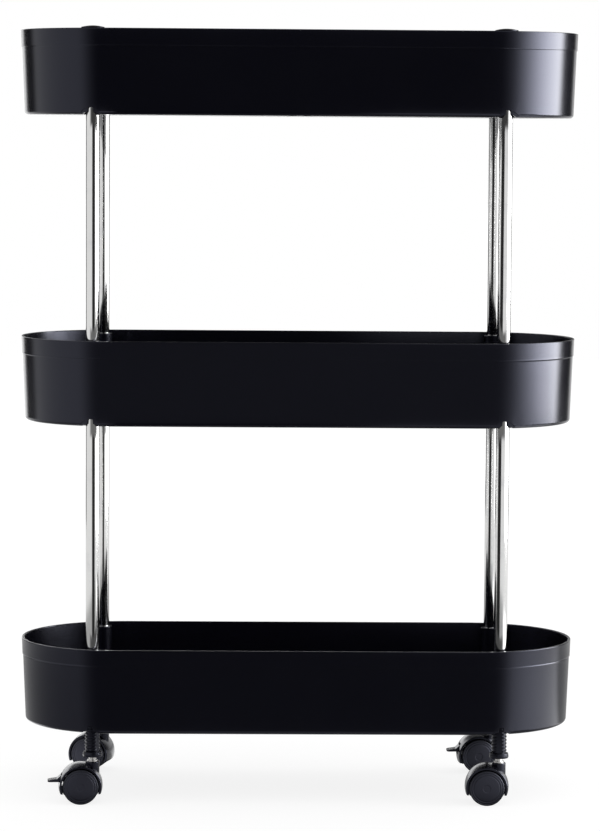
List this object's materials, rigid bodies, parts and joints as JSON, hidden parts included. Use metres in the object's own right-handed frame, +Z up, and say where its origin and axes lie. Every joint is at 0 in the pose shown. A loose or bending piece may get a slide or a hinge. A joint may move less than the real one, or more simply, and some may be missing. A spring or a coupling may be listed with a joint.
{
  "type": "three tier tray trolley",
  "caption": "Slim rolling trolley with three rounded black plastic trays on chromed tube posts and twin-wheel swivel casters.",
  "frame": {"origin": "on the ground, midway between the four posts, under the middle of the trays", "axes": "+X along the length of the trays towards the right end, +Y from the front to the rear, +Z up"},
  "size_m": [0.6098, 0.2303, 0.8393],
  "materials": {
    "tray_plastic": "semi-gloss moulded black plastic",
    "fitting_plastic": "black moulded fittings",
    "chrome_tube": "chromed steel tube",
    "hood_plastic": "black satin plastic",
    "wheel_plastic": "dark grey nylon wheels",
    "polished_steel": "zinc plated swivel stem",
    "spring_steel": "plain steel pins and rings"
  },
  "bodies": {
    "cart": {"top_tray": "tray_plastic", "middle_tray": "tray_plastic", "bottom_tray": "tray_plastic", "front_left_lower_post": "chrome_tube", "front_left_upper_post": "chrome_tube", "front_left_tube_joiner": "fitting_plastic", "front_left_post_cap": "fitting_plastic", "front_left_threaded_stud": "fitting_plastic", "front_right_lower_post": "chrome_tube", "front_right_upper_post": "chrome_tube", "front_right_tube_joiner": "fitting_plastic", "front_right_post_cap": "fitting_plastic", "front_right_threaded_stud": "fitting_plastic", "rear_left_lower_post": "chrome_tube", "rear_left_upper_post": "chrome_tube", "rear_left_tube_joiner": "fitting_plastic", "rear_left_post_cap": "fitting_plastic", "rear_left_threaded_stud": "fitting_plastic", "rear_right_lower_post": "chrome_tube", "rear_right_upper_post": "chrome_tube", "rear_right_tube_joiner": "fitting_plastic", "rear_right_post_cap": "fitting_plastic", "rear_right_threaded_stud": "fitting_plastic"},
    "front_left_caster": {"front_left_stem": "polished_steel", "front_left_grip_ring": "spring_steel", "front_left_hood": "hood_plastic", "front_left_axle": "spring_steel", "front_left_brake_pin": "spring_steel"},
    "front_left_wheel_left_body": {"front_left_wheel_left": "wheel_plastic"},
    "front_left_wheel_right_body": {"front_left_wheel_right": "wheel_plastic"},
    "front_left_brake": {"front_left_brake_lever": "hood_plastic"},
    "front_right_caster": {"front_right_stem": "polished_steel", "front_right_grip_ring": "spring_steel", "front_right_hood": "hood_plastic", "front_right_axle": "spring_steel"},
    "front_right_wheel_left_body": {"front_right_wheel_left": "wheel_plastic"},
    "front_right_wheel_right_body": {"front_right_wheel_right": "wheel_plastic"},
    "rear_left_caster": {"rear_left_stem": "polished_steel", "rear_left_grip_ring": "spring_steel", "rear_left_hood": "hood_plastic", "rear_left_axle": "spring_steel"},
    "rear_left_wheel_left_body": {"rear_left_wheel_left": "wheel_plastic"},
    "rear_left_wheel_right_body": {"rear_left_wheel_right": "wheel_plastic"},
    "rear_right_caster": {"rear_right_stem": "polished_steel", "rear_right_grip_ring": "spring_steel", "rear_right_hood": "hood_plastic", "rear_right_axle": "spring_steel", "rear_right_brake_pin": "spring_steel"},
    "rear_right_wheel_left_body": {"rear_right_wheel_left": "wheel_plastic"},
    "rear_right_wheel_right_body": {"rear_right_wheel_right": "wheel_plastic"},
    "rear_right_brake": {"rear_right_brake_lever": "hood_plastic"}
  },
  "joints": [
    {"name": "front_left_swivel", "type": "hinge", "parent": "cart", "child": "front_left_caster", "pos_m": [-0.221, -0.093, 0.0503], "axis": [0, 0, 1], "continuous": true},
    {"name": "front_left_left_roll", "type": "hinge", "parent": "front_left_caster", "child": "front_left_wheel_left_body", "pos_m": [-0.23397, -0.09391, 0.01915], "axis": [-0.0698, 0.9976, 0], "continuous": true},
    {"name": "front_left_right_roll", "type": "hinge", "parent": "front_left_caster", "child": "front_left_wheel_right_body", "pos_m": [-0.23397, -0.09391, 0.01915], "axis": [-0.0698, 0.9976, 0], "continuous": true},
    {"name": "front_left_brake_press", "type": "hinge", "parent": "front_left_caster", "child": "front_left_brake", "pos_m": [-0.24694, -0.09481, 0.02565], "axis": [-0.0698, 0.9976, 0], "range_deg": [-14, 0]},
    {"name": "front_right_swivel", "type": "hinge", "parent": "cart", "child": "front_right_caster", "pos_m": [0.221, -0.093, 0.0503], "axis": [0, 0, 1], "continuous": true},
    {"name": "front_right_left_roll", "type": "hinge", "parent": "front_right_caster", "child": "front_right_wheel_left_body", "pos_m": [0.20801, -0.09255, 0.01915], "axis": [0.0349, 0.9994, 0], "continuous": true},
    {"name": "front_right_right_roll", "type": "hinge", "parent": "front_right_caster", "child": "front_right_wheel_right_body", "pos_m": [0.20801, -0.09255, 0.01915], "axis": [0.0349, 0.9994, 0], "continuous": true},
    {"name": "rear_left_swivel", "type": "hinge", "parent": "cart", "child": "rear_left_caster", "pos_m": [-0.221, 0.093, 0.0503], "axis": [0, 0, 1], "continuous": true},
    {"name": "rear_left_left_roll", "type": "hinge", "parent": "rear_left_caster", "child": "rear_left_wheel_left_body", "pos_m": [-0.23372, 0.0957, 0.01915], "axis": [0.2079, 0.9781, 0], "continuous": true},
    {"name": "rear_left_right_roll", "type": "hinge", "parent": "rear_left_caster", "child": "rear_left_wheel_right_body", "pos_m": [-0.23372, 0.0957, 0.01915], "axis": [0.2079, 0.9781, 0], "continuous": true},
    {"name": "rear_right_swivel", "type": "hinge", "parent": "cart", "child": "rear_right_caster", "pos_m": [0.221, 0.093, 0.0503], "axis": [0, 0, 1], "continuous": true},
    {"name": "rear_right_left_roll", "type": "hinge", "parent": "rear_right_caster", "child": "rear_right_wheel_left_body", "pos_m": [0.20802, 0.09232, 0.01915], "axis": [-0.0523, 0.9986, 0], "continuous": true},
    {"name": "rear_right_right_roll", "type": "hinge", "parent": "rear_right_caster", "child": "rear_right_wheel_right_body", "pos_m": [0.20802, 0.09232, 0.01915], "axis": [-0.0523, 0.9986, 0], "continuous": true},
    {"name": "rear_right_brake_press", "type": "hinge", "parent": "rear_right_caster", "child": "rear_right_brake", "pos_m": [0.19504, 0.09164, 0.02565], "axis": [-0.0523, 0.9986, 0], "range_deg": [-14, 0]}
  ]
}
